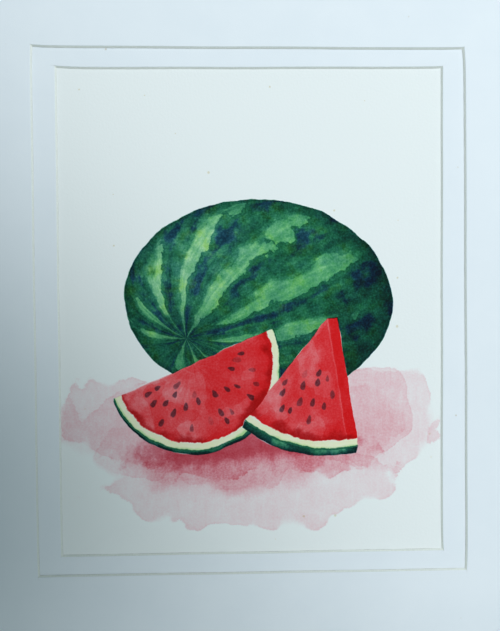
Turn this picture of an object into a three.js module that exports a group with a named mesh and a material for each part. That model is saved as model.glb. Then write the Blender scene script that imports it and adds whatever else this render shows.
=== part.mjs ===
// A watercolour picture in a double window mat, unframed, lying on its backing board.
//
// The stack from the back: a foam-core backing board, two paper T-hinges that hang the painted
// sheet from its top edge, the sheet, an inner window mat and an outer window mat. Strips of
// double-sided tape join the inner mat to the backing board and the outer mat to the inner one.
//
// Millimetres. +X is the picture's right, +Y its top and +Z out of its face. The origin is the
// middle of the backing board's back face, which the picture lies on.

import * as THREE from 'three';

// ---- Driving dimensions ----

const OUTLINE = { width: 380, height: 437 }; // backing board and both mats
const OUTER_WINDOW = { width: 260, height: 317 }; // at the outer mat's face
const INNER_WINDOW = { width: 232.5, height: 294 }; // at the inner mat's face
const SHEET = { width: 254, height: 305 };

const BACKING_THICKNESS = 5;
const MAT_THICKNESS = 1.2;
const SHEET_THICKNESS = 0.42;
const BEVEL_ANGLE = 45; // degrees between a window's cut edge and the mat's face

const MAT_TAPE = { width: 12, thickness: 0.1, setback: 8 }; // setback from the outer window
const BACKING_TAPE = { width: 12, inset: 6 }; // inset from the outline
const TAPE_END_GAP = 1; // between a side strip's end and the strip across it

const HINGE_THICKNESS = 0.1;
const HINGE_TAB = { width: 20, height: 40 }; // its lower half is glued to the back of the sheet
const HINGE_STRIP = { width: 44, height: 16, above: 2 }; // its height above the sheet's top edge
const HINGE_OFFSET = 78; // each side of the middle

const CLEARANCE = 0.02; // between faces that lie on each other

// ---- Heights of the stack ----

const tabBack = BACKING_THICKNESS + CLEARANCE;
const sheetBack = tabBack + HINGE_THICKNESS + CLEARANCE;
const innerMatBack = sheetBack + SHEET_THICKNESS + CLEARANCE;
const matTapeBack = innerMatBack + MAT_THICKNESS + CLEARANCE;
const outerMatBack = matTapeBack + MAT_TAPE.thickness + CLEARANCE;

// ---- Materials ----

function material(color, roughness) {
  return new THREE.MeshStandardMaterial({ color, roughness, metalness: 0 });
}

// ---- Shapes ----

// A flat rectangular piece whose back face is at z = back
function flatPiece(name, size, thickness, centre, back, finish) {
  const mesh = new THREE.Mesh(new THREE.BoxGeometry(size.width, size.height, thickness), finish);
  mesh.name = name;
  mesh.position.set(centre.x, centre.y, back + thickness / 2);
  return mesh;
}

// A mat: a board with a window that narrows from its face (z = thickness) to its back (z = 0)
function windowMat(name, window, back, finish) {
  const inset = MAT_THICKNESS / Math.tan(THREE.MathUtils.degToRad(BEVEL_ANGLE));
  const backWindow = { width: window.width - 2 * inset, height: window.height - 2 * inset };
  const loops = [
    { size: OUTLINE, z: 0 },
    { size: OUTLINE, z: MAT_THICKNESS },
    { size: window, z: MAT_THICKNESS },
    { size: backWindow, z: 0 },
  ];

  const corners = [[-1, -1], [1, -1], [1, 1], [-1, 1]];
  const positions = loops.flatMap(({ size, z }) =>
    corners.flatMap(([x, y]) => [x * size.width / 2, y * size.height / 2, z]));

  // Each loop of four corners is joined to the next, and the last one to the first
  const triangles = [];
  for (let loop = 0; loop < loops.length; loop++) {
    const next = (loop + 1) % loops.length;
    for (let corner = 0; corner < corners.length; corner++) {
      const after = (corner + 1) % corners.length;
      const a = 4 * loop + corner;
      const b = 4 * loop + after;
      const c = 4 * next + after;
      const d = 4 * next + corner;
      triangles.push(a, b, c, a, c, d);
    }
  }

  const geometry = new THREE.BufferGeometry();
  geometry.setAttribute('position', new THREE.Float32BufferAttribute(positions, 3));
  geometry.setIndex(triangles);
  geometry.computeVertexNormals();

  const mesh = new THREE.Mesh(geometry, finish);
  mesh.name = name;
  mesh.position.z = back;
  return mesh;
}

// Four strips of tape around a rectangle, the top and bottom ones across the ends of the others
function tapeFrame(name, inside, width, thickness, back) {
  const across = { width: inside.width + 2 * width, height: width };
  const upright = { width, height: inside.height - 2 * TAPE_END_GAP };
  const x = (inside.width + width) / 2;
  const y = (inside.height + width) / 2;
  const strips = [
    ['top', across, { x: 0, y }],
    ['bottom', across, { x: 0, y: -y }],
    ['left', upright, { x: -x, y: 0 }],
    ['right', upright, { x, y: 0 }],
  ];
  const frame = new THREE.Group();
  for (const [side, size, centre] of strips) {
    frame.add(flatPiece(`${name}_${side}`, size, thickness, centre, back, material(0xe8e4d4, 0.6)));
  }
  return frame;
}

// ---- Sub-parts ----

function backingBoard() {
  return flatPiece('backing_board', OUTLINE, BACKING_THICKNESS, { x: 0, y: 0 }, 0,
    material(0xf1efe8, 0.85));
}

function artworkSheet() {
  return flatPiece('artwork_sheet', SHEET, SHEET_THICKNESS, { x: 0, y: 0 }, sheetBack,
    material(0xe8eeea, 0.9));
}

function innerMat() {
  return windowMat('inner_mat', INNER_WINDOW, innerMatBack, material(0xe6ecef, 0.85));
}

function outerMat() {
  return windowMat('outer_mat', OUTER_WINDOW, outerMatBack, material(0xe6ecef, 0.85));
}

// The outer mat's tape stays a little behind the outer window's edge
function matTape() {
  const inside = {
    width: OUTER_WINDOW.width + 2 * MAT_TAPE.setback,
    height: OUTER_WINDOW.height + 2 * MAT_TAPE.setback,
  };
  return tapeFrame('mat_tape', inside, MAT_TAPE.width, MAT_TAPE.thickness, matTapeBack);
}

// The backing tape is padded tape as thick as the sheet and hinges beside it
function backingTape() {
  const margin = BACKING_TAPE.inset + BACKING_TAPE.width;
  const inside = { width: OUTLINE.width - 2 * margin, height: OUTLINE.height - 2 * margin };
  const thickness = innerMatBack - BACKING_THICKNESS - 2 * CLEARANCE;
  return tapeFrame('backing_tape', inside, BACKING_TAPE.width, thickness,
    BACKING_THICKNESS + CLEARANCE);
}

// A T-hinge: an upright tab half behind the sheet, and a strip across the half that shows
function hinge(side, x) {
  const sheetTop = SHEET.height / 2;
  const stripY = sheetTop + HINGE_STRIP.above + HINGE_STRIP.height / 2;
  const stripBack = tabBack + HINGE_THICKNESS + CLEARANCE;
  const paper = material(0xf0ece0, 0.9);
  const group = new THREE.Group();
  group.add(flatPiece(`hinge_tab_${side}`, HINGE_TAB, HINGE_THICKNESS, { x, y: sheetTop },
    tabBack, paper));
  group.add(flatPiece(`hinge_strip_${side}`, HINGE_STRIP, HINGE_THICKNESS, { x, y: stripY },
    stripBack, paper.clone()));
  return group;
}

// ---- Assembly ----

const picture = new THREE.Group();
picture.add(
  backingBoard(),
  hinge('left', -HINGE_OFFSET),
  hinge('right', HINGE_OFFSET),
  artworkSheet(),
  backingTape(),
  innerMat(),
  matTape(),
  outerMat(),
);

export default picture;
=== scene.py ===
"""A watercolour still life of a watermelon in a white double window mat, lying on a pale floor.

The mats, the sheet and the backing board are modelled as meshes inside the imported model's
solids. The tapes and the hinges keep their solids. The painting is laid down by shader nodes as
a painter would: transparent washes, each a density of pigment over the paper, multiply how much
light the sheet sends back.
"""

import math
import random

import bmesh
import bpy
from mathutils import Euler, Matrix, Vector


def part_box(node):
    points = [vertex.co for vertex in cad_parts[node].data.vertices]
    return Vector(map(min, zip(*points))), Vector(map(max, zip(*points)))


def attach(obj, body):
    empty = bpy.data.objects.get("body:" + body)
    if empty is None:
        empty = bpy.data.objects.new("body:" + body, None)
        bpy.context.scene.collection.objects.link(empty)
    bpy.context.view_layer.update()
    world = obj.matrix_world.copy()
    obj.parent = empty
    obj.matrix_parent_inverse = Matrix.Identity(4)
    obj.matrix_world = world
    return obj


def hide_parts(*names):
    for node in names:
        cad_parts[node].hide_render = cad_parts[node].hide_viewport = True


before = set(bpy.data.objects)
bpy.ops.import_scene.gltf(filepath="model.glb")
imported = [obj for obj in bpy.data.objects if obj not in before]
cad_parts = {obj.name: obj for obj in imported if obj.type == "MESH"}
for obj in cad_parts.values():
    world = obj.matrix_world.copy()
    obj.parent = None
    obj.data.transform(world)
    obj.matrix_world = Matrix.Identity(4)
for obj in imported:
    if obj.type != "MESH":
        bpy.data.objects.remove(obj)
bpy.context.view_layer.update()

MM = 0.001

# ---------------------------------------------------------------------------
# Fields: numbers that vary over a surface, worked out by shader nodes
# ---------------------------------------------------------------------------


class Field:
    """A number at every point of a surface. Arithmetic on fields adds math nodes."""

    def __init__(self, tree, socket):
        self.tree = tree
        self.socket = socket

    def calculate(self, operation, *values):
        node = self.tree.nodes.new("ShaderNodeMath")
        node.operation = operation
        for socket, value in zip(node.inputs, values):
            feed(self.tree, socket, value)
        return Field(self.tree, node.outputs[0])

    def __add__(self, other):
        return self.calculate("ADD", self, other)

    def __radd__(self, other):
        return self.calculate("ADD", other, self)

    def __sub__(self, other):
        return self.calculate("SUBTRACT", self, other)

    def __rsub__(self, other):
        return self.calculate("SUBTRACT", other, self)

    def __mul__(self, other):
        return self.calculate("MULTIPLY", self, other)

    def __truediv__(self, other):
        return self.calculate("DIVIDE", self, other)

    def __abs__(self):
        return self.calculate("ABSOLUTE", self)

    def plus_times(self, factor, other):
        """self + factor * other, in one node."""
        return self.calculate("MULTIPLY_ADD", other, factor, self)

    def least(self, other):
        return self.calculate("MINIMUM", self, other)

    def most(self, other):
        return self.calculate("MAXIMUM", self, other)

    def root(self):
        return self.calculate("SQRT", self)

    def exponential(self):
        return self.calculate("EXPONENT", self)

    def cosine(self):
        return self.calculate("COSINE", self)

    def angle(self, other):
        """The angle whose sine goes as self and whose cosine goes as other."""
        return self.calculate("ARCTAN2", self, other)

    def ramp(self, start, end):
        """0 up to start and 1 from end on, smooth between. start may be the larger."""
        node = self.tree.nodes.new("ShaderNodeMapRange")
        node.interpolation_type = "SMOOTHSTEP"
        feed(self.tree, node.inputs["Value"], self)
        feed(self.tree, node.inputs["From Min"], start)
        feed(self.tree, node.inputs["From Max"], end)
        return Field(self.tree, node.outputs["Result"])

    def line(self, width):
        """1 where self is 0, falling to nothing over about the width on both sides."""
        near = self / width
        return (near * near * -1.0).exponential()


def feed(tree, socket, value):
    """Links a field or a socket to an input, or sets the input to a number or a colour."""
    if isinstance(value, Field):
        tree.links.new(value.socket, socket)
    elif isinstance(value, bpy.types.NodeSocket):
        tree.links.new(value, socket)
    else:
        socket.default_value = value


class Place:
    """A point of a surface in millimetres, as two fields, with its own turned or moved axes."""

    def __init__(self, x, y):
        self.x = x
        self.y = y
        self.combined = None

    @property
    def vector(self):
        if self.combined is None:
            tree = self.x.tree
            node = tree.nodes.new("ShaderNodeCombineXYZ")
            feed(tree, node.inputs[0], self.x)
            feed(tree, node.inputs[1], self.y)
            self.combined = node.outputs[0]
        return self.combined

    def around(self, x, y, turn=0.0):
        """The same point seen from (x, y), with axes turned by that many degrees."""
        moved = Place(self.x - x, self.y - y)
        if turn == 0.0:
            return moved
        return Place(moved.towards(turn), moved.towards(turn + 90.0))

    def towards(self, direction):
        """How far the point lies in a direction, in degrees anticlockwise from the x axis."""
        cosine, sine = math.cos(math.radians(direction)), math.sin(math.radians(direction))
        return (self.x * cosine).plus_times(sine, self.y)

    def stretched(self, x, y):
        return Place(self.x * x, self.y * y)

    def distance(self):
        return measured(self.x.tree, "LENGTH", self.vector)


def vector_math(tree, operation, *values):
    """A node that works on vectors, one input for each value."""
    node = tree.nodes.new("ShaderNodeVectorMath")
    node.operation = operation
    for socket, value in zip(node.inputs, values):
        feed(tree, socket, value)
    return node


def measured(tree, operation, *values):
    """The number that such a node gives, such as a length or a dot product."""
    return Field(tree, vector_math(tree, operation, *values).outputs["Value"])


def separate(tree, vector):
    """The three parts of a vector or a colour, as fields."""
    node = tree.nodes.new("ShaderNodeSeparateXYZ")
    feed(tree, node.inputs[0], vector)
    return tuple(Field(tree, output) for output in node.outputs)


def noise(place, size, detail, roughness, seed):
    """Smooth random blotches about `size` across, mostly between -1 and 1."""
    tree = place.x.tree
    shifted = vector_math(tree, "ADD", place.vector, (37.3 * seed, -61.7 * seed, 0.0))
    node = tree.nodes.new("ShaderNodeTexNoise")
    node.noise_dimensions = "2D"
    feed(tree, node.inputs["Vector"], shifted.outputs[0])
    feed(tree, node.inputs["Scale"], 1.0 / size)
    feed(tree, node.inputs["Detail"], detail)
    feed(tree, node.inputs["Roughness"], roughness)
    value = Field(tree, node.outputs["Fac"])
    return value.calculate("MULTIPLY_ADD", value, 3.2, -1.6)


def specks(place, spacing, share, radius, seed):
    """How strong small round specks are, 0 to 1. That share of a loose net's cells has one."""
    tree = place.x.tree
    shifted = vector_math(tree, "ADD", place.vector, (53.1 * seed, 29.9 * seed, 0.0))
    net = tree.nodes.new("ShaderNodeTexVoronoi")
    net.voronoi_dimensions = "2D"
    feed(tree, net.inputs["Vector"], shifted.outputs[0])
    feed(tree, net.inputs["Scale"], 1.0 / spacing)
    chance, own_size, _ = separate(tree, net.outputs["Color"])
    away = Field(tree, net.outputs["Distance"]) * spacing
    ragged = noise(place, radius * 1.5, 2.0, 0.6, seed + 1)
    size = (own_size * 0.8 + 0.4).plus_times(0.25, ragged) * radius
    strength = chance.ramp(share, share * 0.3)
    return away.ramp(size, size * 0.4) * strength


def wobbled(place, size, amount, seed):
    """The place pushed about at random, so that what is drawn there has a hand-drawn edge."""
    return Place(
        place.x.plus_times(amount, noise(place, size, 4.0, 0.55, seed)),
        place.y.plus_times(amount, noise(place, size, 4.0, 0.55, seed + 1)),
    )


# ---------------------------------------------------------------------------
# Watercolour
# ---------------------------------------------------------------------------

# How strongly each pigment absorbs red, green and blue light, per unit of density
SAP_GREEN = (1.05, 0.31, 1.18)
VIRIDIAN = (2.12, 1.04, 0.95)
INDIGO = (1.85, 1.40, 0.80)
CRIMSON = (0.06, 1.22, 1.02)
SCARLET = (0.04, 1.08, 1.30)
ROSE = (0.17, 1.13, 0.98)
STRAW = (0.03, 0.06, 0.42)
SEPIA = (1.30, 1.70, 1.60)
FOXING = (0.20, 0.32, 0.62)


class Paint:
    """Washes laid over each other: the red, green and blue light that they absorb together."""

    def __init__(self, tree):
        self.tree = tree
        self.depth = None

    def lay(self, pigment, density):
        if self.depth is None:
            node = vector_math(self.tree, "MULTIPLY", pigment, density)
        else:
            node = vector_math(self.tree, "MULTIPLY_ADD", pigment, density, self.depth)
        self.depth = node.outputs[0]

    def keep(self, share):
        """Thins every wash so far to that share of itself."""
        self.depth = vector_math(self.tree, "MULTIPLY", self.depth, share).outputs[0]

    def over(self, other):
        """Lays another painting's washes over this one's."""
        self.depth = vector_math(self.tree, "ADD", self.depth, other.depth).outputs[0]


class Melon:
    """The whole fruit: an ellipse on the page, shaded as a round body."""

    def __init__(self, page, grain):
        self.tree = page.x.tree
        self.grain = grain
        half_long, half_short = 81.0, 60.5
        at = wobbled(page, 30.0, 1.3, 11).around(5.0, 7.0, -3.0)
        unit = at.stretched(1.0 / half_long, 1.0 / half_short)
        reach = unit.distance()

        # How far inside its outline each point is, in mm
        self.inside = (1.0 - reach) * 0.5 * (half_long + half_short)

        # With its height towards the viewer, a point's place on the ball is also the direction
        # that the surface faces there
        height = (1.0 - reach * reach).most(0.002).root()
        surface = self.tree.nodes.new("ShaderNodeCombineXYZ")
        for socket, value in zip(surface.inputs, (unit.x, unit.y, height)):
            feed(self.tree, socket, value)
        self.surface = surface.outputs[0]

        # The stripes run from the stem end to the other end, as lines of longitude
        stem_end = Vector((-0.52, -0.42, 0.74)).normalized()
        side = stem_end.cross(Vector((0.0, 0.0, 1.0))).normalized()
        upper = side.cross(stem_end)
        self.along = self.facing(stem_end)
        self.turn = self.facing(side).angle(self.facing(upper))
        self.lit = self.facing(Vector((-0.62, 0.40, 0.67)).normalized())

        self.blotch = noise(page, 16.0, 3.0, 0.55, 3)
        self.ragged = noise(page, 4.5, 3.0, 0.6, 4)
        self.cloud = noise(page, 7.0, 4.0, 0.66, 8)
        self.mottle = noise(page, 2.0, 3.0, 0.65, 10)
        self.hue = noise(page, 11.0, 4.0, 0.6, 13)
        self.drops = noise(page, 15.0, 3.0, 0.55, 7)

    def facing(self, direction):
        """How squarely the surface faces a direction, -1 to 1."""
        return measured(self.tree, "DOT_PRODUCT", self.surface, direction)

    def brushed(self, across, along, detail, roughness, seed):
        """Noise drawn out along the stripes."""
        place = Place(self.turn * across, self.along * along)
        return noise(place, 1.0, detail, roughness, seed)

    def paint(self):
        """All the washes of the fruit."""
        blotch, ragged, cloud, hue = self.blotch, self.ragged, self.cloud, self.hue
        strokes = self.brushed(6.0, 2.4, 3.0, 0.6, 5)
        fine_strokes = self.brushed(22.0, 4.0, 2.0, 0.55, 6)
        breaks = self.brushed(3.4, 3.0, 2.0, 0.5, 9)
        streaks = self.brushed(9.0, 2.2, 2.0, 0.5, 12)
        near_stem = self.along.ramp(0.93, 1.0)
        near_rim = self.inside.plus_times(1.6, ragged).ramp(11.0, 3.0)
        gleam = self.lit.ramp(0.70, 1.0)
        shade = self.lit.ramp(0.46, -0.26)

        # Light stripes are what the second wash left open: crisp on one side, soft on the other
        stripes = 12.0
        phase = (self.turn * stripes + 0.4).plus_times(0.75, blotch).plus_times(0.38, ragged)
        light = (phase.cosine() - 0.38).plus_times(0.85, breaks).plus_times(
            0.28, strokes).plus_times(-1.35, shade).plus_times(-0.5, near_stem).plus_times(
            -0.8, near_rim)
        edge_width = (phase - 1.6).cosine().plus_times(0.8, blotch).ramp(-0.3, 1.0) * 0.75 + 0.05
        second = light.ramp(edge_width, edge_width * -1.0)
        third = light.plus_times(0.45, strokes).plus_times(0.25, cloud).ramp(-0.20, -1.10)

        # Blue dropped in while the greens were wet, mostly beside each light stripe's crisp side
        beside = (phase + 1.95).cosine()
        wet_blue = third * self.drops.plus_times(0.45, streaks).plus_times(
            0.50, beside).plus_times(0.30, cloud).ramp(0.12, 0.90)

        paint = Paint(self.tree)
        first = (1.05 - gleam * 0.22).plus_times(0.12, blotch).plus_times(0.14, cloud).plus_times(
            0.30, hue * (0.60 + second * 0.40)).plus_times(-0.80, wet_blue)
        paint.lay(SAP_GREEN, first.most(0.25))
        paint.lay(VIRIDIAN, (0.52 - gleam * 0.32).plus_times(0.16, cloud).plus_times(
            0.24, fine_strokes).plus_times(0.38, shade).plus_times(-0.42, hue).most(0.02)
            .plus_times(1.0, second * (0.96 + cloud * 0.24 + strokes * 0.20 + self.mottle * 0.12))
            .plus_times(0.26, light.line(0.10)))

        olive = hue.ramp(0.05, 0.95)
        paint.lay(SEPIA, olive * second * 0.26)
        paint.lay(STRAW, olive * 1.3)

        # Indigo over the dark stripes and where the blue was dropped in, most of it in the shade
        paint.lay(INDIGO, (third * (0.10 + cloud * 0.20).plus_times(0.35, streaks).most(0.0))
                  .plus_times(0.82, wet_blue)
                  .plus_times(0.62, shade * (0.50 + self.drops * 0.75).most(0.0))
                  .plus_times(0.35, near_stem)
                  .plus_times(0.10, second * self.mottle))

        # Darker where the brush followed the outline
        outline = (self.inside - 0.8).line(0.9) * (0.36 + ragged * 0.45).most(0.0) + near_rim * 0.34
        paint.lay(VIRIDIAN, outline * 0.45)
        paint.lay(INDIGO, outline * 0.45)
        paint.keep(self.inside.ramp(0.0, 0.6) * (1.0 + self.grain * 0.26))
        return paint


RIND = 5.2  # mm from a slice's skin to its red flesh


class FruitSlice:
    """A slice with its core at the place and its rind downwards, turned by some degrees.

    half_opening is the angle from the slice's middle line to each straight cut. side is how far
    the slice's second cut face reaches behind the right one, and skin how far the outer skin
    shows below the rind, each as a step in mm.
    """

    def __init__(self, page, grain, place, turn, radius, half_opening, side, skin, seed):
        self.tree = page.x.tree
        self.grain = grain
        self.radius = radius
        self.half_opening = half_opening
        self.seed = seed
        self.blotch = noise(page, 13.0, 3.0, 0.55, 31 + seed)
        self.cloud = noise(page, 5.0, 4.0, 0.66, 33 + seed)
        self.pools = noise(page, 19.0, 2.0, 0.5, 32 + seed)

        # Beyond the right-hand cut, a point slides back along the side face to the front's edge
        at = wobbled(page, 16.0, 0.8, 20 + seed).around(*place, turn)
        opening = math.radians(half_opening)
        side_width = Vector(side).dot(Vector((math.cos(opening), math.sin(opening))))
        self.right_cut = at.towards(half_opening)
        back = (self.right_cut / side_width).most(0.0).least(1.0)
        self.side_face = back.ramp(0.0, 0.05)
        self.face = Place(at.x.plus_times(-side[0], back), at.y.plus_times(-side[1], back))
        self.reach = self.face.distance()
        self.depth = radius - self.reach
        left_cut = self.face.towards(180.0 - half_opening)
        self.face_inside = self.depth.least(left_cut * -1.0).least(side_width - self.right_cut)

        # The skin shows between the rind's arc and the same arc a step away, from end to end
        self.skin_place = self.face.around(*skin)
        self.skin_inside = radius - self.skin_place.distance()
        left_end = Vector((-math.sin(opening), -math.cos(opening))) * radius
        right_end = Vector((math.sin(opening), -math.cos(opening))) * radius + Vector(side)
        for end, along in ((left_end, right_end - left_end), (left_end, -Vector(skin)),
                           (right_end, Vector(skin))):
            inward = Vector((along.y, -along.x)).normalized()
            self.skin_inside = self.skin_inside.least(
                (at.x * inward.x).plus_times(inward.y, at.y) - inward.dot(end))

        # How far inside its outline each point is, in mm
        self.inside = self.face_inside.most(self.skin_inside)

    def paint(self):
        """All the washes of the slice."""
        on_skin = self.face_inside.ramp(0.0, -0.25)
        paint = Paint(self.tree)
        self.lay_flesh(paint)
        self.lay_rind(paint)
        paint.keep(1.0 - on_skin)
        skin = self.skin_paint()
        skin.keep(on_skin)
        paint.over(skin)
        paint.keep(self.inside.ramp(0.0, 0.5) * (1.0 + self.grain * 0.20))
        return paint

    def lay_flesh(self, paint):
        """A pink first wash, then a red one that thins towards the left, darkest at the rind."""
        blotch, cloud, pools = self.blotch, self.cloud, self.pools
        around_core = self.face.y.angle(self.face.x)
        strokes = noise(Place(around_core * 5.0, self.reach / 19.0), 1.0, 3.0, 0.6, 30 + self.seed)
        rim = self.depth.plus_times(-0.8, strokes).plus_times(-0.6, cloud)
        flesh = rim.ramp(RIND - 0.5, RIND + 0.5)
        thin = (pools * 0.60).plus_times(-0.75, self.face.x / self.radius).plus_times(0.20, blotch)
        first = (0.96 + blotch * 0.12).plus_times(0.14, strokes)
        second = (2.00 - thin.ramp(-0.75, 1.05) * 1.45).plus_times(0.24, strokes).plus_times(
            0.18, blotch).plus_times(0.26, cloud)
        red = first + second.most(0.0) + self.side_face * 0.95

        # A glaze with crisp edges, and a line of light where the two cut faces meet
        glaze = thin.plus_times(1.1, noise(self.face, 21.0, 1.0, 0.5, 36 + self.seed)).plus_times(
            0.10, cloud) - 0.15
        red = red.plus_times(-0.42, glaze.ramp(-0.02, 0.03)).plus_times(0.20, glaze.line(0.035))
        red = red.plus_times(-0.8, self.right_cut.plus_times(0.3, cloud).line(0.7))

        edge = rim.plus_times(-3.6, blotch)
        deepest = edge.plus_times(-2.6, pools).ramp(10.0, RIND) * pools.ramp(-0.9, 0.3)
        red = red.plus_times(0.50, edge.ramp(17.0, 6.0)).plus_times(1.1, deepest)

        # The red is lifted where a seed goes, and the seed is a dark blue drop
        seeds, strength = self.seeds()
        flesh = flesh * (1.0 - seeds * strength * 0.30)
        paint.lay(SCARLET, flesh * red * 0.32)
        paint.lay(CRIMSON, flesh * (red * 0.74 + (rim - RIND - 0.3).line(0.8) * 0.5))
        paint.lay(SEPIA, (flesh * deepest * 0.36).plus_times(
            0.82, seeds * strength.plus_times(0.25, cloud)))
        paint.lay(INDIGO, seeds * strength * 0.30)

    def seeds(self):
        """Where the seeds are, 0 to 1, and how strongly each is painted.

        There is one in most cells of a loose net, and each is a drop that points to the core.
        """
        tree = self.tree
        spacing = 9.2
        net = tree.nodes.new("ShaderNodeTexVoronoi")
        net.voronoi_dimensions = "2D"
        feed(tree, net.inputs["Vector"], self.face.vector)
        feed(tree, net.inputs["Scale"], 1.0 / spacing)
        feed(tree, net.inputs["Randomness"], 0.72)
        seed_at = net.outputs["Position"]
        offset = vector_math(tree, "SUBTRACT", self.face.vector, seed_at).outputs[0]
        outward = vector_math(tree, "NORMALIZE", seed_at).outputs[0]
        lengthwise = measured(tree, "DOT_PRODUCT", offset, outward)
        away = measured(tree, "LENGTH", offset)
        sideways = (away * away - lengthwise * lengthwise).most(0.0).root()

        own_size, own_strength, own_lean = separate(tree, net.outputs["Color"])
        leaning = lengthwise.plus_times(0.5, sideways * (own_lean - 0.5))
        size = own_size * 0.45 + 0.88
        width = (size * 1.15).plus_times(0.17, leaning)
        drop = Place(leaning / (size * 2.1), sideways / width).distance()

        # Only in a ring around the core, clear of the cuts, and not in every cell
        seed_x, seed_y, _ = separate(tree, seed_at)
        seed_share = Place(seed_x, seed_y).distance() / self.radius
        in_ring = (seed_share - 0.30).least(0.79 - seed_share) * self.radius
        past_cuts = Place(abs(seed_x), seed_y).towards(self.half_opening)
        seeded = in_ring.least(past_cuts * -1.0 - 3.2).ramp(0.0, 0.2) * own_strength.ramp(0.08, 0.16)
        seeds = drop.plus_times(0.16, self.grain).plus_times(0.12, self.cloud).ramp(1.18, 0.82)
        return seeds * seeded, own_strength.ramp(0.0, 0.55) * 0.60 + 0.40

    def lay_rind(self, paint):
        """Cream, then a thin green and the dark line of the skin."""
        rind = self.depth.plus_times(-0.4, self.cloud)
        paint.lay(STRAW, rind.ramp(RIND + 1.0, RIND - 1.4) * (0.95 + self.blotch * 0.25))
        paint.lay(SAP_GREEN, rind.plus_times(-1.1, self.pools).ramp(2.4, 0.6) * 0.55)
        paint.lay(VIRIDIAN, rind.ramp(1.2, 0.7) * 1.7)

    def skin_paint(self):
        """The crescent of skin: green with darker stripes across and a dark lower edge."""
        around_core = self.skin_place.y.angle(self.skin_place.x)
        stripes = (around_core * 15.0).plus_times(1.7, self.blotch).plus_times(
            0.9, self.cloud).cosine().ramp(1.0, -0.4)
        paint = Paint(self.tree)
        paint.lay(SAP_GREEN, 0.85 + self.blotch * 0.25)
        paint.lay(VIRIDIAN, (0.70 + stripes * 0.90)
                  .plus_times(0.9, self.skin_inside.line(1.8)).plus_times(0.30, self.cloud))
        paint.lay(INDIGO, (stripes * 0.40 + self.skin_inside.line(1.6) * 0.7 + 0.18)
                  .plus_times(0.35, self.pools).most(0.0))
        return paint


# The washes under the fruit: centre, half size, turn, density, softest edge, how much of its
# edge is crisp (0 to 1) and random seed
TABLE_WASHES = (
    ((-6.0, -70.0), (108.0, 33.0), 1.0, 0.16, 10.0, 0.5, 41),
    ((-72.0, -66.0), (46.0, 25.0), -8.0, 0.19, 6.0, 0.4, 45),
    ((78.0, -66.0), (38.0, 32.0), 22.0, 0.20, 12.0, 0.5, 49),
    ((72.0, -62.0), (24.0, 34.0), -24.0, 0.20, 9.0, 0.45, 53),
    ((-66.0, -78.0), (30.0, 20.0), 12.0, 0.16, 7.0, 0.4, 77),
    ((-2.0, -104.0), (94.0, 25.0), 2.0, 0.20, 8.0, 0.6, 61),
    ((0.0, -86.0), (78.0, 24.0), 3.0, 0.34, 18.0, 0.1, 57),
    ((-8.0, -84.0), (60.0, 18.0), 4.0, 0.52, 9.0, 0.3, 65),
)


def table_wash(page, grain):
    """The loose pink washes that the fruit stands on, laid across each other."""
    mottle = noise(page, 4.5, 4.0, 0.66, 40)
    streaks = noise(page.stretched(1.0, 0.22), 3.2, 3.0, 0.6, 42)
    paint = Paint(page.x.tree)
    for (x, y), (half_width, half_height), turn, density, softest, crisp, seed in TABLE_WASHES:
        large = noise(page, 34.0, 1.0, 0.4, seed)
        middle = noise(page, 13.0, 1.0, 0.5, seed + 1)
        small = noise(page, 4.0, 4.0, 0.7, seed + 2)
        start = 1.2 * crisp - 0.8
        softness = noise(page, 30.0, 1.0, 0.5, seed + 3).ramp(start, start + 0.9) * softest + 0.6
        reach = page.around(x, y, turn).stretched(1.0 / half_width, 1.0 / half_height).distance()
        inside = ((1.0 - reach) * half_height * 1.2).plus_times(8.0, large).plus_times(
            2.4, middle).plus_times(0.9, small).plus_times(0.3, grain)
        body = inside.ramp(0.0, softness)
        fuller = (0.9 + middle * 0.16).plus_times(0.20, mottle).plus_times(0.24, large)
        fuller = fuller.plus_times(0.16, streaks)
        rim = (inside - 0.8).line(0.8) * softness.ramp(4.0, 1.0)
        paint.lay(ROSE, (body * fuller).plus_times(0.40, rim).most(0.0) * density)
    paint.keep(1.0 + grain * 0.32)
    return paint


def cast_shadow(page, x, y, half_width, half_height, seed):
    """How dark the red pool under a slice is, 0 to 1."""
    ragged = noise(page, 9.0, 5.0, 0.68, seed)
    reach = page.around(x, y, 5.0).stretched(1.0 / half_width, 1.0 / half_height).distance()
    return (1.0 - reach).plus_times(0.30, ragged).ramp(-0.05, 0.55)


def still_life(page):
    """All the paint on the sheet."""
    grain = noise(page, 1.2, 3.0, 0.6, 1)

    wedge = FruitSlice(page, grain, place=(46.0, -4.0), turn=-15.0, radius=80.0,
                       half_opening=24.0, side=(6.0, 2.4), skin=(-0.8, -4.2), seed=0)
    half_round = FruitSlice(page, grain, place=(-35.0, -31.0), turn=23.0, radius=53.0,
                            half_opening=90.0, side=(0.6, 0.6), skin=(-0.6, -2.0), seed=5)
    fruit = Melon(page, grain)
    front, back, whole = wedge.paint(), half_round.paint(), fruit.paint()
    wash = table_wash(page, grain)
    pool = cast_shadow(page, -22.0, -82.0, 60.0, 12.0, 71).most(
        cast_shadow(page, 30.0, -80.0, 38.0, 9.0, 72))
    wash.lay(CRIMSON, pool * 0.88)
    wash.lay(SEPIA, pool * 0.18)

    # Each thing leaves what is behind it unpainted, here and there with a hair of white paper
    gap = noise(page, 15.0, 1.0, 0.5, 73) * 0.40 - 0.22
    back.keep((wedge.inside + gap).ramp(0.25, -0.25))
    past_slices = (wedge.inside.most(half_round.inside) + gap).ramp(0.25, -0.25)
    whole.keep(past_slices)
    wash.keep(past_slices * (fruit.inside + gap).ramp(0.4, -0.3))

    for layer in (whole, back, front):
        wash.over(layer)
    return wash


# ---------------------------------------------------------------------------
# Materials
# ---------------------------------------------------------------------------


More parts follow.
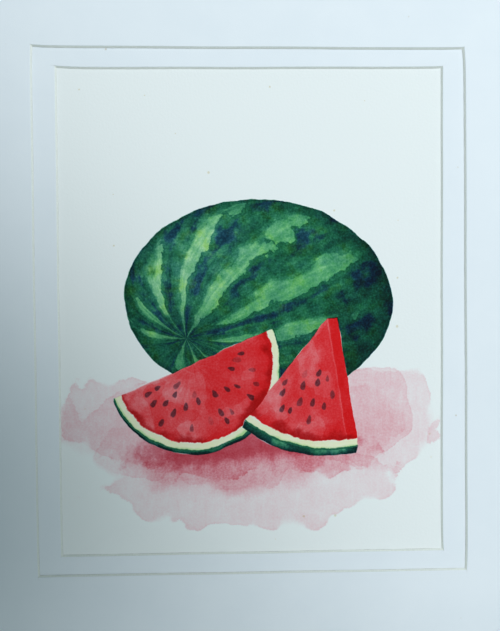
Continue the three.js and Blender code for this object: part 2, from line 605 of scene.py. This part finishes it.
def new_material(name, roughness, specular):
    """A material with a Principled shader. Gives the material and the shader node."""
    material = bpy.data.materials.new(name)
    material.use_nodes = True
    shader = material.node_tree.nodes["Principled BSDF"]
    shader.inputs["Roughness"].default_value = roughness
    shader.inputs["Specular IOR Level"].default_value = specular
    return material, shader


def surface_place(tree, across="X", up="Y"):
    """The object's own coordinates along two axes, in millimetres, as a place."""
    coordinates = tree.nodes.new("ShaderNodeTexCoord")
    parts = dict(zip("XYZ", separate(tree, coordinates.outputs["Object"])))
    return Place(parts[across] * 1000.0, parts[up] * 1000.0)


def bump(tree, shader, height, depth):
    """Raises the surface by height times depth in mm."""
    node = tree.nodes.new("ShaderNodeBump")
    feed(tree, node.inputs["Distance"], depth * MM)
    feed(tree, node.inputs["Height"], height)
    feed(tree, shader.inputs["Normal"], node.outputs[0])


def mixed(tree, first, second, share):
    """The colour between first and second, as share goes from 0 to 1."""
    node = tree.nodes.new("ShaderNodeMix")
    node.data_type = "RGBA"
    feed(tree, node.inputs["Factor"], share)
    for socket, colour in zip((s for s in node.inputs if s.type == "RGBA"), (first, second)):
        feed(tree, socket, colour)
    return next(o for o in node.outputs if o.type == "RGBA")


def tinted(tree, shader, colours, share, spots=None):
    """Colours the shader from the first colour to the second as share goes from 0 to 1.

    spots is a colour to put over them and how far it covers them, 0 to 1.
    """
    colour = mixed(tree, (*colours[0], 1.0), (*colours[1], 1.0), share)
    if spots:
        colour = mixed(tree, colour, (*spots[0], 1.0), spots[1])
    feed(tree, shader.inputs["Base Color"], colour)


PAPER_WHITE = (0.848, 0.890, 0.864)


def painted_paper():
    """Rough watercolour paper with the still life on it."""
    material, shader = new_material("painted_paper", 0.92, 0.2)
    tree = material.node_tree
    page = surface_place(tree)
    paint = still_life(page)
    paint.lay(FOXING, specks(page, 19.0, 0.15, 0.9, 81) * 0.75)

    # Light that the washes let through, times the paper's own colour
    lost = vector_math(tree, "SCALE", paint.depth)
    lost.inputs["Scale"].default_value = -1.0
    colour = tree.nodes.new("ShaderNodeCombineColor")
    for socket, channel, white in zip(colour.inputs, separate(tree, lost.outputs[0]), PAPER_WHITE):
        feed(tree, socket, channel.exponential() * white)
    feed(tree, shader.inputs["Base Color"], colour.outputs[0])

    tooth = noise(page, 1.5, 3.0, 0.55, 2)
    bump(tree, shader, tooth, 0.022)
    return material


def board_face():
    """The smooth white paper on the mats' faces."""
    material, shader = new_material("mat_face_paper", 0.88, 0.25)
    tree = material.node_tree
    place = surface_place(tree)
    tone = noise(place, 40.0, 3.0, 0.6, 61)
    fibres = noise(place.stretched(1.0, 0.45), 0.5, 2.0, 0.6, 62)
    tinted(tree, shader, ((0.795, 0.855, 0.880), (0.825, 0.880, 0.900)), tone.ramp(-1.2, 1.2),
           spots=((0.66, 0.65, 0.58), specks(place, 30.0, 0.16, 0.8, 83)))
    bump(tree, shader, fibres, 0.012)
    return material


def board_core():
    """The cream pulp that shows where a mat is cut."""
    material, shader = new_material("mat_core", 0.95, 0.15)
    tree = material.node_tree
    place = surface_place(tree)
    pulp = noise(place, 0.8, 3.0, 0.6, 63)
    tinted(tree, shader, ((0.735, 0.774, 0.718), (0.818, 0.858, 0.796)), pulp.ramp(-1.0, 1.0))
    bump(tree, shader, pulp, 0.02)
    return material


def board_back_painted_shade():
    """The paper on a mat's back: its cut edge, the strip at the foot of a window's cut, is painted
    grey in blotches as shade.
    """
    material, shader = new_material("mat_back_paper_painted_shade", 0.9, 0.2)
    tree = material.node_tree
    place = surface_place(tree)
    foot_shade_blotches = noise(place, 9.0, 4.0, 0.7, 68)

    # The painted shade is darkest on the lower cuts, from 4 mm above the inner window's lower side
    # on
    lower_edge = -window_size("inner_mat").y / MM
    lower_side = place.y.ramp(lower_edge + 7.0, lower_edge + 4.0)
    # Painted shade: from the pale back paper towards dark grey, in blotches
    tinted(tree, shader, ((0.80, 0.82, 0.77), (0.30, 0.31, 0.285)),
           foot_shade_blotches.ramp(0.9, -0.9) * (0.30 + lower_side * 0.20))
    return material


def foam_liner():
    """The paper liners of the backing board."""
    material, shader = new_material("foam_board_liner", 0.8, 0.3)
    tree = material.node_tree
    place = surface_place(tree)
    tone = noise(place, 55.0, 4.0, 0.6, 64)
    fibres = noise(place, 0.7, 2.0, 0.6, 65)
    tinted(tree, shader, ((0.83, 0.82, 0.79), (0.87, 0.86, 0.84)), tone.ramp(-1.0, 1.0))
    bump(tree, shader, fibres, 0.01)
    return material


def foam_core():
    """The cut edge of the backing board's foam, with its small cells."""
    material, shader = new_material("foam_board_core", 0.9, 0.2)
    tree = material.node_tree
    end, side = surface_place(tree, "Y", "Z"), surface_place(tree, "X", "Z")
    cells = noise(Place(end.x + side.x, end.y), 0.35, 2.0, 0.5, 66)
    tinted(tree, shader, ((0.76, 0.76, 0.74), (0.90, 0.90, 0.89)), cells.ramp(-0.8, 0.6))
    bump(tree, shader, cells, 0.08)
    return material


def soft_paper(name, pale, deep, fibre_size, seed):
    """Thin fibrous paper, for the hinges and the tapes."""
    material, shader = new_material(name, 0.85, 0.25)
    tree = material.node_tree
    place = surface_place(tree)
    fibres = noise(place.stretched(0.3, 1.0), fibre_size, 3.0, 0.6, seed)
    tinted(tree, shader, (deep, pale), fibres.ramp(-1.0, 1.0))
    bump(tree, shader, fibres, 0.02)
    return material


# ---------------------------------------------------------------------------
# Meshes
# ---------------------------------------------------------------------------


def new_object(name, data):
    """Puts a mesh, a lamp or a camera in the scene."""
    made = bpy.data.objects.new(name, data)
    bpy.context.scene.collection.objects.link(made)
    return made


def new_mesh(name, build, materials):
    """The mesh that a bmesh holds."""
    mesh = bpy.data.meshes.new(name)
    build.to_mesh(mesh)
    build.free()
    for material in materials:
        mesh.materials.append(material)
    return mesh


def piece(name, mesh, slot, *nodes):
    """Puts a mesh in the scene in place of CAD nodes."""
    made = new_object(name, mesh)
    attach(made, "root")
    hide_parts(*nodes)


def rectangle(half_width, half_height, radius, z):
    """The points of a rectangle with round corners, in metres, from its lower right corner on."""
    steps = 3
    points = []
    for quarter, (right, top) in enumerate(((1, -1), (1, 1), (-1, 1), (-1, -1))):
        centre_x, centre_y = right * (half_width - radius), top * (half_height - radius)
        for step in range(steps + 1):
            angle = math.radians(90 * (quarter - 1 + step / steps))
            points.append((centre_x + radius * math.cos(angle),
                           centre_y + radius * math.sin(angle), z))
    return points


def loops_mesh(name, loops, bands, materials, closed):
    """Joins each loop of points to the next. bands gives the material of each join.

    closed joins the last loop to the first, for a ring. Otherwise both ends get a flat face.
    """
    build = bmesh.new()
    rows = [[build.verts.new(point) for point in loop] for loop in loops]
    count = len(loops[0])
    joins = list(zip(rows, rows[1:] + rows[:1])) if closed else list(zip(rows, rows[1:]))
    for (low, high), band in zip(joins, bands):
        for i in range(count):
            j = (i + 1) % count
            face = build.faces.new((low[i], low[j], high[j], high[i]))
            face.material_index = band
    if not closed:
        build.faces.new(list(reversed(rows[0]))).material_index = bands[0]
        build.faces.new(rows[-1]).material_index = bands[-1]
    bmesh.ops.recalc_face_normals(build, faces=build.faces)
    return new_mesh(name, build, materials)


FACE, CORE, BACK = 0, 1, 2  # a mat's material slots
LINER = 0.13 * MM  # the paper on each side of a mat
FOOT = 0.24 * MM  # the strip at the foot of a window's cut, painted grey as shade
SOFT_EDGE = 0.08 * MM  # the rounding of an outer edge
HOOK = 8 * MM  # how soon a window's side gets straight beyond its corners
SWAY = 0.10 * MM  # how far a window's side waves along its length

# The mats are cut by hand. For each corner of a window, from the lower right one on,
# anticlockwise: how far it strays from square, and how far the sides hook outwards on reaching
# it and on leaving it, all in mm
STRAYS = {
    "outer_mat": (((0.2, 0.0), 0.0, -0.6), ((-0.3, 0.1), -1.0, 0.4), ((0.2, 0.8), 0.7, -0.4),
                  ((1.2, 0.5), -0.5, 0.1)),
    "inner_mat": (((0.2, 0.5), 0.0, 0.6), ((0.8, 0.5), 0.0, 0.4), ((0.3, 0.2), 0.9, 0.0),
                  ((1.0, 0.7), -0.2, 0.0)),
}
SIDES = tuple(Vector(side) for side in ((1, 0), (0, 1), (-1, 0), (0, -1)))


def window_mat(node, materials):
    """A mat: its window's cut shows the core between the two papers."""
    low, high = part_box(node)
    thickness = high.z - low.z
    half_window = window_size(node)
    hand = random.Random(node)
    strays = STRAYS[node]
    waves = [hand.uniform(0.0, 6.0) for _ in SIDES]
    steps = 32

    def stray(index, place):
        """How far the cut is from square, on that side and at that place along it, -1 to 1."""
        outward = SIDES[index]
        length = 2.0 * abs(half_window.dot(onward(outward)))
        (corner, _, leaving), (after, reaching, _) = strays[index], strays[(index + 1) % 4]
        share = (place + 1.0) / 2.0
        near = math.exp(-share * length / HOOK) - 1.0 + share
        far = math.exp(-(1.0 - share) * length / HOOK) - share
        sway = SWAY * math.sin(share * 17.0 + waves[index]) * math.sin(share * math.pi)
        swerve = (leaving * near + reaching * far) * MM + sway
        return Vector(corner).lerp(Vector(after), share) * MM + outward * swerve

    def ring(half_size, z, is_window):
        """Points around the mat from the lower right corner on, as many for every ring."""
        points = []
        for index, outward in enumerate(SIDES):
            for step in range(steps):
                place = -math.cos(math.pi * step / steps)
                spot = outward + onward(outward) * place
                point = Vector((spot.x * half_size.x, spot.y * half_size.y))
                if is_window:
                    point += stray(index, place)
                points.append((point.x, point.y, z))
        return points

    def outside(z, inset=0.0):
        return ring(high.xy - Vector((inset, inset)), z, False)

    def window(depth):
        return ring(half_window - Vector((depth, depth)), high.z - depth, True)

    window_edge = window(0.0)
    loops = [
        outside(low.z, SOFT_EDGE),
        outside(low.z + SOFT_EDGE),
        outside(low.z + LINER),
        outside(high.z - LINER),
        outside(high.z - SOFT_EDGE),
        outside(high.z, SOFT_EDGE),
        window_edge,
        window(LINER),
        window(thickness - FOOT),
        window(thickness),
    ]
    # The strip at each window's foot takes the back paper, painted grey as shade
    bands = [FACE, FACE, CORE, FACE, FACE, FACE, FACE, CORE, BACK, FACE]
    mesh = loops_mesh(node, loops, bands, materials, closed=True)
    return cut_away(mesh, overruns([Vector(point) for point in window_edge[::steps]], hand))


def onward(outward):
    """The direction anticlockwise along the side that faces outward."""
    return Vector((-outward.y, outward.x))


def overruns(corners, hand):
    """Thin slits, slanting under the face, where the blade ran a little past each corner."""
    start = -0.3 * MM  # inside the window
    slant = 0.6 * MM  # how deep a slit goes, and how far sideways
    wide = 0.13 * MM
    above = 0.05 * MM  # past the face, so that the cut is clean
    slits = bmesh.new()
    for index, outward in enumerate(SIDES):
        ahead = onward(outward)
        for corner, along in ((corners[index], -ahead), (corners[(index + 1) % 4], ahead)):
            run = hand.choice((0.4, 0.8, 1.6, 2.6)) * MM
            section = ((start, above, -above), (start, above - wide, -above),
                       (start, -slant, slant), (start, -slant - wide, slant),
                       (run, above - wide / 2, -above), (run, -0.1 * MM, 0.1 * MM))
            points = []
            for forward, out, down in section:
                flat = corner.xy + along * forward + outward * out
                points.append(slits.verts.new((flat.x, flat.y, corner.z - down)))
            hull = bmesh.ops.convex_hull(slits, input=points)
            for face in hull["geom"]:
                if isinstance(face, bmesh.types.BMFace):
                    # The slits' walls take the mat's back paper, painted grey as shade
                    face.material_index = BACK
    return slits


def cut_away(mesh, cutters):
    """The mesh less the shapes in the bmesh, which keep their own material numbers."""
    cutter = new_object("cutter", new_mesh("cutter", cutters, mesh.materials))
    whole = new_object("whole", mesh)
    difference = whole.modifiers.new("slits", "BOOLEAN")
    difference.object = cutter
    difference.use_self = True
    result = bpy.data.meshes.new_from_object(
        whole.evaluated_get(bpy.context.evaluated_depsgraph_get()))
    bpy.data.objects.remove(whole)
    bpy.data.objects.remove(cutter)
    return result


def window_size(node):
    """Half the width and height of a mat's window at its face."""
    low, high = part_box(node)
    corners = [vertex.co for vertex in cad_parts[node].data.vertices]
    inner = [co for co in corners if co.z > high.z - 0.01 * MM and abs(co.x) < high.x - MM]
    return Vector((max(co.x for co in inner), max(co.y for co in inner)))


def sheet_mesh(node, material):
    """The sheet of paper, slightly cockled inside the mat's window where the washes were wet."""
    low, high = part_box(node)
    size = high - low
    spacing = 2.5 * MM
    across, up = round(size.x / spacing), round(size.y / spacing)
    window_x, window_y = window_size("inner_mat")
    held = 6 * MM  # the mat presses the sheet flat this far inside the window
    easing = 25 * MM  # and it rises to its full cockle over this much more
    cockle = 0.10 * MM

    def rise(x, y):
        inside = min(window_x - abs(x), window_y - abs(y)) - held
        free = min(max(inside / easing, 0), 1)
        wave = (math.sin(x / (34 * MM) + 1.0) * math.sin(y / (47 * MM) + 0.4)
                + 0.5 * math.sin(x / (19 * MM) - y / (27 * MM)))
        return cockle * free * free * (3 - 2 * free) * (1 + wave)

    build = bmesh.new()

    def layer(z):
        rows = []
        for j in range(up + 1):
            y = low.y + size.y * j / up
            xs = [low.x + size.x * i / across for i in range(across + 1)]
            rows.append([build.verts.new((x, y, z + rise(x, y))) for x in xs])
        return rows

    back, front = layer(low.z), layer(high.z)
    for rows in (back, front):
        for j in range(up):
            for i in range(across):
                build.faces.new((rows[j][i], rows[j][i + 1], rows[j + 1][i + 1], rows[j + 1][i]))
    edges = ([(0, i) for i in range(across)] + [(j, across) for j in range(up)]
             + [(up, i) for i in range(across, 0, -1)] + [(j, 0) for j in range(up, 0, -1)])
    for (j, i), (k, m) in zip(edges, edges[1:] + edges[:1]):
        build.faces.new((back[j][i], back[k][m], front[k][m], front[j][i]))
    bmesh.ops.recalc_face_normals(build, faces=build.faces)
    mesh = new_mesh(node, build, [material])
    for polygon in mesh.polygons:
        polygon.use_smooth = abs(polygon.normal.z) > 0.5
    return mesh


def foam_board_mesh(node, liner, foam):
    """The backing board: foam a hair behind the edges of the paper on its two sides."""
    low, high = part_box(node)
    paper = 0.35 * MM
    recess = 0.12 * MM

    def loop(z, inset=0.0):
        return rectangle(high.x - inset, high.y - inset, 0.5 * MM, z)

    loops = [
        loop(low.z, SOFT_EDGE),
        loop(low.z + SOFT_EDGE),
        loop(low.z + paper),
        loop(low.z + paper, recess),
        loop(high.z - paper, recess),
        loop(high.z - paper),
        loop(high.z - SOFT_EDGE),
        loop(high.z, SOFT_EDGE),
    ]
    bands = [FACE, FACE, CORE, CORE, CORE, FACE, FACE]
    return loops_mesh(node, loops, bands, (liner, foam), closed=False)


# ---------------------------------------------------------------------------
# The picture
# ---------------------------------------------------------------------------

mat_materials = board_face(), board_core(), board_back_painted_shade()
for mat_node in ("outer_mat", "inner_mat"):
    piece(mat_node + "_board", window_mat(mat_node, mat_materials), "mat_board", mat_node)

piece("painted_sheet", sheet_mesh("artwork_sheet", painted_paper()), "painted_sheet",
      "artwork_sheet")
piece("foam_backing", foam_board_mesh("backing_board", foam_liner(), foam_core()), "foam_board",
      "backing_board")

tape_paper = soft_paper("tape_paper", (0.86, 0.82, 0.70), (0.78, 0.73, 0.60), 1.2, 71)
hinge_paper = soft_paper("hinge_paper", (0.90, 0.88, 0.81), (0.82, 0.79, 0.71), 0.8, 72)
for node_name, node_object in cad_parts.items():
    if "tape" in node_name:
        node_object.material_slots[0].material = tape_paper
    elif "hinge" in node_name:
        node_object.material_slots[0].material = hinge_paper

# ---------------------------------------------------------------------------
# Floor, light and camera
# ---------------------------------------------------------------------------


STUDIO = 25.0  # m from the picture to the backdrop


def pale_floor():
    """A plain floor, a hair below the picture."""
    mesh = bpy.data.meshes.new("floor")
    drop = -0.2 * MM
    corners = [(x * STUDIO, y * STUDIO, drop) for x, y in ((-1, -1), (1, -1), (1, 1), (-1, 1))]
    mesh.from_pydata(corners, [], [(0, 1, 2, 3)])
    material, shader = new_material("floor_paint", 0.8, 0.2)
    shader.inputs["Base Color"].default_value = (0.68, 0.69, 0.69, 1.0)
    mesh.materials.append(material)
    made = new_object("floor", mesh)
    return made


def backdrop():
    """A pale dome around the floor, seen behind the picture. It gives no light and no shade."""
    build = bmesh.new()
    bmesh.ops.create_uvsphere(build, u_segments=64, v_segments=32, radius=STUDIO)
    below = [vert for vert in build.verts if vert.co.z < -0.01 * STUDIO]
    bmesh.ops.delete(build, geom=below, context="VERTS")
    material, shader = new_material("backdrop_paint", 1.0, 0.0)
    shader.inputs["Base Color"].default_value = (0.0, 0.0, 0.0, 1.0)
    shader.inputs["Emission Color"].default_value = (0.54, 0.585, 0.64, 1.0)
    shader.inputs["Emission Strength"].default_value = 1.0
    made = new_object("backdrop", new_mesh("backdrop", build, [material]))
    made.visible_diffuse = False
    made.visible_glossy = False
    made.visible_transmission = False
    made.visible_shadow = False


LAMP_COLOUR = (0.975, 1.0, 1.052)


def new_lamp(name, kind, power, place, aim):
    """A lamp at the place, pointing at the aim, both in mm. Gives its object and its data."""
    lamp = bpy.data.lights.new(name, kind)
    lamp.energy = power
    lamp.color = LAMP_COLOUR
    made = new_object(name, lamp)
    made.location = Vector(place) * MM
    made.rotation_euler = (Vector(aim) * MM - made.location).to_track_quat("-Z", "Y").to_euler()
    return made, lamp


def soft_light(name, power, place, aim, spread, blend, floor):
    """A lamp for the picture alone: a cone of light that fades towards its edge."""
    made, lamp = new_lamp(name, "SPOT", power, place, aim)
    lamp.spot_size = math.radians(spread)
    lamp.spot_blend = blend
    lamp.shadow_soft_size = 0.08
    made.light_linking.receiver_collection = receivers(name, floor, "EXCLUDE")


def floor_light(floor):
    """An even, very soft light on the floor alone."""
    made, lamp = new_lamp("floor_lamp", "SUN", 2.2, (550.0, 516.0, 1508.0), (0.0, 0.0, 0.0))
    lamp.angle = math.radians(30.0)
    made.light_linking.receiver_collection = receivers("floor_lamp", floor, "INCLUDE")


def receivers(name, floor, state):
    """What a lamp lights: only the floor, or all but the floor."""
    collection = bpy.data.collections.new(name + "_receivers")
    collection.objects.link(floor)
    collection.collection_objects[0].light_linking.link_state = state
    return collection


def pale_world():
    """A soft bluish light from all around, as from a room's walls."""
    world = bpy.data.worlds.new("room")
    world.use_nodes = True
    background = world.node_tree.nodes["Background"]
    background.inputs["Color"].default_value = (0.177, 0.234, 0.248, 1.0)
    bpy.context.scene.world = world


def camera():
    """Looks down on the picture, a little off square."""
    tilt = Euler((math.radians(0.94), math.radians(2.12), math.radians(0.47)), "XYZ")
    turn = tilt.to_matrix().transposed()
    data = bpy.data.cameras.new("camera")
    data.lens = 48.5
    data.sensor_width = 36.0
    made = new_object("camera", data)
    face = Vector((0.0, 0.0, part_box("outer_mat")[1].z))
    place = face + turn @ (Vector((-0.8, -2.3, 510.0)) * MM)
    made.matrix_world = Matrix.Translation(place) @ turn.to_4x4()
    bpy.context.scene.camera = made


floor_object = pale_floor()
backdrop()
soft_light("main_lamp", 84.8, (550.0, 537.0, 1508.0), (969.0, 1059.0, 8.0), 114.3, 0.209,
           floor_object)
soft_light("low_lamp", 16.8, (293.0, -450.0, 1008.0), (30.0, -308.0, 8.0), 29.1, 1.0,
           floor_object)
floor_light(floor_object)
pale_world()
camera()
bpy.context.scene.view_settings.view_transform = "Standard"
